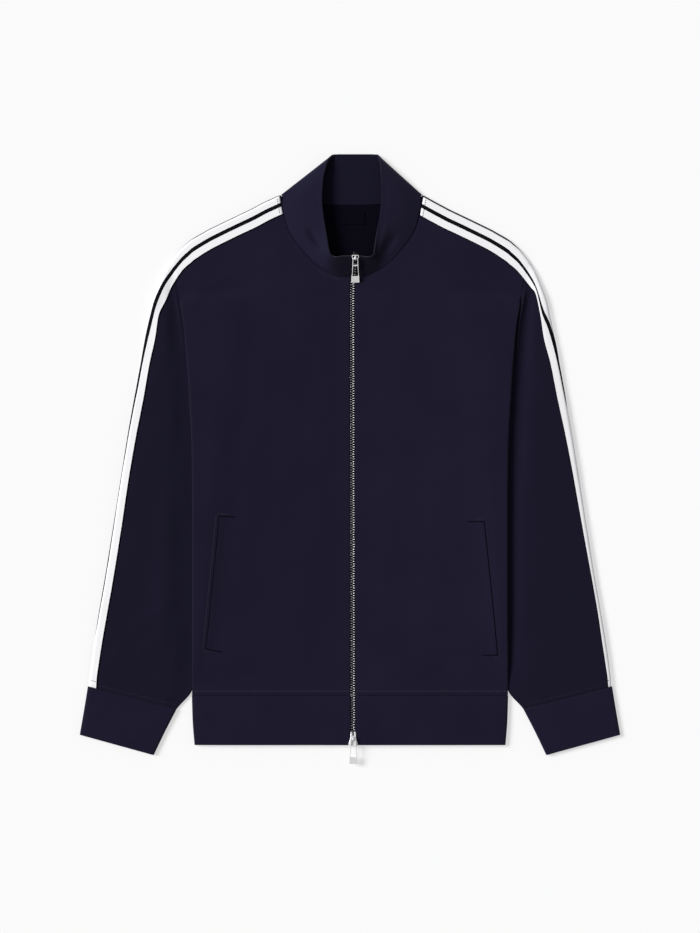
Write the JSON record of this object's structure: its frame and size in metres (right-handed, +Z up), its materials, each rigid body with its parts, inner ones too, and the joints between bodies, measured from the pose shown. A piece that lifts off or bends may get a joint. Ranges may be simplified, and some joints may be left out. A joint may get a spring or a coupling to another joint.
{
  "type": "zip-through track jacket",
  "caption": "Zip-through knitted track jacket with a standing collar, taped sleeves, slanted pockets, cuffs and a hem band, laid flat on its back.",
  "frame": {"origin": "on the surface that the jacket lies on, under the middle of its box", "axes": "+X to the right and +Y towards the collar as seen from above, +Z up from the surface"},
  "size_m": [0.675, 0.7609, 0.023],
  "materials": {
    "navy_knit": "smooth dark navy double knit",
    "striped_tape": "white knitted tape with a navy stripe along its middle",
    "zip_ribbon": "black woven ribbon",
    "woven_label": "blank black woven label",
    "zip_teeth": "bright metal",
    "zip_metal": "polished silver-coloured metal"
  },
  "bodies": {
    "jacket": {"back": "navy_knit", "collar": "navy_knit", "cuff_left": "navy_knit", "cuff_right": "navy_knit", "front_left": "navy_knit", "front_right": "navy_knit", "hem_band": "navy_knit", "neck_label": "woven_label", "pocket_welt_left": "navy_knit", "pocket_welt_right": "navy_knit", "sleeve_left": "navy_knit", "sleeve_right": "navy_knit", "sleeve_tape_left": "striped_tape", "sleeve_tape_right": "striped_tape", "slider_bottom": "zip_metal", "slider_top": "zip_metal", "zip_chain": "zip_teeth", "zip_tape_left": "zip_ribbon", "zip_tape_right": "zip_ribbon"},
    "pull_top": {"pull_top": "zip_metal"},
    "pull_bottom": {"pull_bottom": "zip_metal"}
  },
  "joints": [
    {"name": "pull_top_hinge", "type": "hinge", "parent": "jacket", "child": "pull_top", "pos_m": [0.0067, 0.2494, 0.01949], "axis": [-1, 0, 0], "range_deg": [0, 150]},
    {"name": "pull_bottom_hinge", "type": "hinge", "parent": "jacket", "child": "pull_bottom", "pos_m": [0.004, -0.3482, 0.0104], "axis": [-1, 0, 0], "range_deg": [0, 150]}
  ]
}
